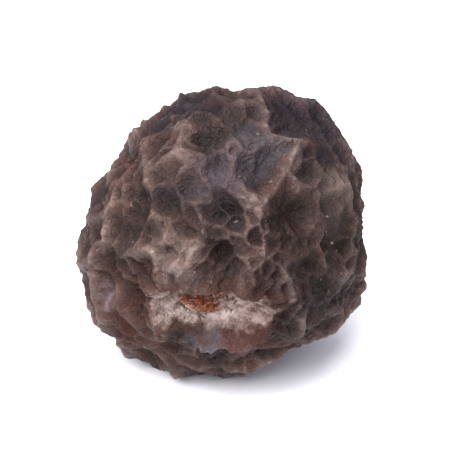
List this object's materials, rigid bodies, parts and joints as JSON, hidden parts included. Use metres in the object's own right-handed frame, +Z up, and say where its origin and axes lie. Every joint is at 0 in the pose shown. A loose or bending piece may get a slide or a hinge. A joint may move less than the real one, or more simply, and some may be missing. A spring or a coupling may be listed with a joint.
{
  "type": "black peppercorn",
  "caption": "One dried black peppercorn: a dark brown berry whose skin has shrunk into a raised net of ridges, with a pale sunken stalk scar.",
  "frame": {"origin": "on the surface that the peppercorn rests on, below the middle of its box", "axes": "+Z up from the flat rest spot; -Y towards the stalk scar; +Y towards the stigma nub, the longest way through the berry"},
  "size_m": [0.0051, 0.0055, 0.0051],
  "materials": {
    "dried_skin": "dried pepper skin: dark brown, matt with a faint sheen, paler and greyer on worn ridge tops, near black in the pits, with a pale pinkish tan stalk scar"
  },
  "bodies": {
    "root": {"peppercorn": "dried_skin"}
  },
  "joints": []
}
